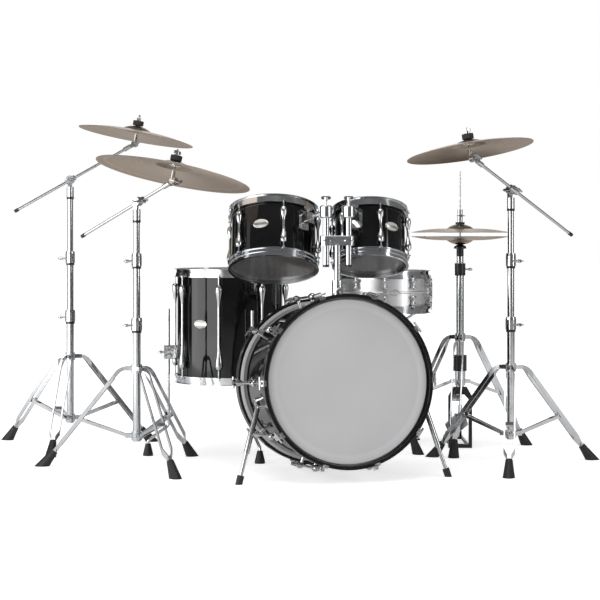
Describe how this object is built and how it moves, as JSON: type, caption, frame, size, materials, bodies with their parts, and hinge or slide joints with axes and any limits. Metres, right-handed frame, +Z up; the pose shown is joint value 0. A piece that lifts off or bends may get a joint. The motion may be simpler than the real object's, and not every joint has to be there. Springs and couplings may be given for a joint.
{
  "type": "acoustic drum kit",
  "caption": "Acoustic drum kit in gloss black with chrome hardware: bass drum, hanging toms, floor tom, snare, hi-hats and boom-mounted cymbals.",
  "frame": {"origin": "on the floor under the middle of the kit", "axes": "+X to the audience's right, +Y towards the player, +Z up"},
  "size_m": [2.3332, 1.3498, 1.3099],
  "materials": {
    "lacquer": "piano-black gloss lacquer on maple ply",
    "hoop_lacquer": "gloss black lacquer",
    "bass_head": "satin silver-white film",
    "head": "coated film",
    "chrome": "polished chrome plate",
    "hoop_steel": "polished chrome plate",
    "snare_metal": "spun and polished steel",
    "wire": "bright steel",
    "black_metal": "satin black paint",
    "board": "cast and satin",
    "bronze": "lathed bronze with fine grooves",
    "rubber": "matt"
  },
  "bodies": {
    "kit_base": {"bass_drum_shell": "lacquer", "bass_drum_hoops": "hoop_lacquer", "bass_drum_heads": "bass_head", "bass_drum_lugs": "chrome", "bass_drum_claws": "chrome", "bass_drum_brackets": "chrome", "floor_tom_legs": "chrome", "cymbal_stand_legs": "chrome", "cymbal_stand_tubes": "chrome", "snare_stand_base": "chrome", "hihat_stand_base": "chrome", "hihat_pedal_frame": "black_metal", "kick_pedal_frame": "black_metal", "rubber_feet": "rubber"},
    "left_spur": {"left_spur": "chrome"},
    "right_spur": {"right_spur": "chrome"},
    "tom_post": {"tom_post": "chrome"},
    "large_tom_arm": {"large_tom_arm": "chrome"},
    "small_tom_arm": {"small_tom_arm": "chrome"},
    "large_tom": {"large_tom_shell": "lacquer", "large_tom_hoops": "hoop_steel", "large_tom_heads": "head", "large_tom_lugs": "chrome", "large_tom_bracket": "chrome"},
    "small_tom": {"small_tom_shell": "lacquer", "small_tom_hoops": "hoop_steel", "small_tom_heads": "head", "small_tom_lugs": "chrome", "small_tom_bracket": "chrome"},
    "floor_tom": {"floor_tom_shell": "lacquer", "floor_tom_hoops": "hoop_steel", "floor_tom_heads": "head", "floor_tom_lugs": "chrome"},
    "snare_drum": {"snare_basket": "chrome", "snare_shell": "snare_metal", "snare_hoops": "hoop_steel", "snare_heads": "head", "snare_lugs": "chrome", "snare_strainer": "chrome", "snare_wires": "wire"},
    "snare_lever": {"snare_lever": "chrome"},
    "hihat_footboard": {"hihat_footboard": "board"},
    "hihat_pull_rod": {"hihat_pull_rod": "chrome", "hihat_top_cymbal": "bronze"},
    "hihat_upper_tube": {"hihat_upper_tube": "chrome", "hihat_bottom_cymbal": "bronze"},
    "kick_footboard": {"kick_footboard": "board"},
    "kick_beater": {"kick_beater": "chrome"},
    "left_crash_upper_tube": {"left_crash_upper_tube": "chrome"},
    "left_crash_boom": {"left_crash_boom": "chrome"},
    "left_crash_tilter": {"left_crash_tilter": "chrome"},
    "left_crash_cymbal": {"left_crash_cymbal": "bronze"},
    "ride_upper_tube": {"ride_upper_tube": "chrome"},
    "ride_boom": {"ride_boom": "chrome"},
    "ride_tilter": {"ride_tilter": "chrome"},
    "ride_cymbal": {"ride_cymbal": "bronze"},
    "right_crash_upper_tube": {"right_crash_upper_tube": "chrome"},
    "right_crash_boom": {"right_crash_boom": "chrome"},
    "right_crash_tilter": {"right_crash_tilter": "chrome"},
    "right_crash_cymbal": {"right_crash_cymbal": "bronze"}
  },
  "joints": [
    {"name": "left_spur_fold", "type": "hinge", "parent": "kit_base", "child": "left_spur", "pos_m": [-0.06852, -0.56442, 0.27162], "axis": [0.939, 0.2607, 0.2243], "range_deg": [0, 95]},
    {"name": "right_spur_fold", "type": "hinge", "parent": "kit_base", "child": "right_spur", "pos_m": [0.45484, -0.42907, 0.27162], "axis": [0.9477, 0.2273, -0.2243], "range_deg": [0, 95]},
    {"name": "tom_post_height", "type": "slide", "parent": "kit_base", "child": "tom_post", "axis": [0, 0, 1], "range_m": [-0.015, 0.03]},
    {"name": "large_tom_swivel", "type": "hinge", "parent": "tom_post", "child": "large_tom_arm", "pos_m": [0.14114, -0.44834, 0.91858], "axis": [0, 0, 1], "range_deg": [0, 12]},
    {"name": "small_tom_swivel", "type": "hinge", "parent": "tom_post", "child": "small_tom_arm", "pos_m": [0.22014, -0.44834, 0.91858], "axis": [0, 0, 1], "range_deg": [-12, 0]},
    {"name": "large_tom_tilt", "type": "hinge", "parent": "large_tom_arm", "child": "large_tom", "pos_m": [0.14114, -0.44834, 0.91858], "axis": [1, 0, 0], "range_deg": [-5, 12]},
    {"name": "small_tom_tilt", "type": "hinge", "parent": "small_tom_arm", "child": "small_tom", "pos_m": [0.22014, -0.44834, 0.91858], "axis": [1, 0, 0], "range_deg": [-5, 12]},
    {"name": "floor_tom_height", "type": "slide", "parent": "kit_base", "child": "floor_tom", "axis": [0, 0, 1], "range_m": [-0.1, 0.1]},
    {"name": "snare_height", "type": "slide", "parent": "kit_base", "child": "snare_drum", "axis": [0, 0, 1], "range_m": [-0.04, 0.08]},
    {"name": "snare_throw_off", "type": "hinge", "parent": "snare_drum", "child": "snare_lever", "pos_m": [0.5668, 0.382, 0.60585], "axis": [0, 1, 0], "range_deg": [0, 80]},
    {"name": "hihat_height", "type": "slide", "parent": "kit_base", "child": "hihat_upper_tube", "axis": [0, 0, 1], "range_m": [-0.025, 0]},
    {"name": "hihat_pedal", "type": "hinge", "parent": "kit_base", "child": "hihat_footboard", "pos_m": [0.678, 0.627, 0.026], "axis": [1, 0, 0], "range_deg": [0, 2.56]},
    {"name": "hihat_rod", "type": "slide", "parent": "kit_base", "child": "hihat_pull_rod", "axis": [0, 0, 1], "range_m": [-0.0143, 0], "stiffness_N_per_m": 1500, "springref_m": 0.02},
    {"name": "kick_pedal", "type": "hinge", "parent": "kit_base", "child": "kick_footboard", "pos_m": [0.02816, 0.14126, 0.026], "axis": [0.9681, 0.2504, 0], "range_deg": [0, 12]},
    {"name": "kick_beater", "type": "hinge", "parent": "kit_base", "child": "kick_beater", "pos_m": [0.09977, -0.13563, 0.205], "axis": [0.9681, 0.2504, 0], "range_deg": [0, 44], "stiffness_Nm_per_rad": 2, "springref_deg": -20.05},
    {"name": "left_crash_height", "type": "slide", "parent": "kit_base", "child": "left_crash_upper_tube", "axis": [0, 0, 1], "range_m": [-0.1, 0.12]},
    {"name": "left_crash_boom_tilt", "type": "hinge", "parent": "left_crash_upper_tube", "child": "left_crash_boom", "pos_m": [-0.858, 0.408, 1.053], "axis": [0, -1, 0], "range_deg": [-12, 15]},
    {"name": "left_crash_tilt", "type": "hinge", "parent": "left_crash_boom", "child": "left_crash_tilter", "pos_m": [-0.60361, 0.4238, 1.19634], "axis": [-0.0332, -0.9977, 0.059], "range_deg": [-15, 15]},
    {"name": "left_crash_rock", "type": "hinge", "parent": "left_crash_tilter", "child": "left_crash_cymbal", "pos_m": [-0.59211, 0.41808, 1.26377], "axis": [-0.0332, -0.9977, 0.059], "range_deg": [-5, 5], "stiffness_Nm_per_rad": 10},
    {"name": "ride_height", "type": "slide", "parent": "kit_base", "child": "ride_upper_tube", "axis": [0, 0, 1], "range_m": [-0.02, 0.12]},
    {"name": "ride_boom_tilt", "type": "hinge", "parent": "ride_upper_tube", "child": "ride_boom", "pos_m": [-0.539, -0.193, 0.958], "axis": [-0.5736, -0.8192, 0], "range_deg": [-2, 15]},
    {"name": "ride_tilt", "type": "hinge", "parent": "ride_boom", "child": "ride_tilter", "pos_m": [-0.40024, -0.27087, 1.03016], "axis": [0.6388, 0.7372, -0.2203], "range_deg": [-15, 8]},
    {"name": "ride_rock", "type": "hinge", "parent": "ride_tilter", "child": "ride_cymbal", "pos_m": [-0.39344, -0.26897, 1.09843], "axis": [0.6388, 0.7372, -0.2203], "range_deg": [-5, 5], "stiffness_Nm_per_rad": 10},
    {"name": "right_crash_height", "type": "slide", "parent": "kit_base", "child": "right_crash_upper_tube", "axis": [0, 0, 1], "range_m": [-0.08, 0.12]},
    {"name": "right_crash_boom_tilt", "type": "hinge", "parent": "right_crash_upper_tube", "child": "right_crash_boom", "pos_m": [0.82, -0.134, 1.001], "axis": [-0.5736, 0.8192, 0], "range_deg": [-10, 15]},
    {"name": "right_crash_tilt", "type": "hinge", "parent": "right_crash_boom", "child": "right_crash_tilter", "pos_m": [0.67055, -0.25794, 1.11183], "axis": [0.6451, -0.743, 0.1786], "range_deg": [-15, 15]},
    {"name": "right_crash_rock", "type": "hinge", "parent": "right_crash_tilter", "child": "right_crash_cymbal", "pos_m": [0.6545, -0.24368, 1.17702], "axis": [0.6451, -0.743, 0.1786], "range_deg": [-5, 5], "stiffness_Nm_per_rad": 10}
  ],
  "couplings": [
    {"joint": "hihat_rod", "follows": "hihat_pedal", "m_per_rad": -0.31967},
    {"joint": "kick_beater", "follows": "kick_pedal", "ratio": 3.6667}
  ]
}
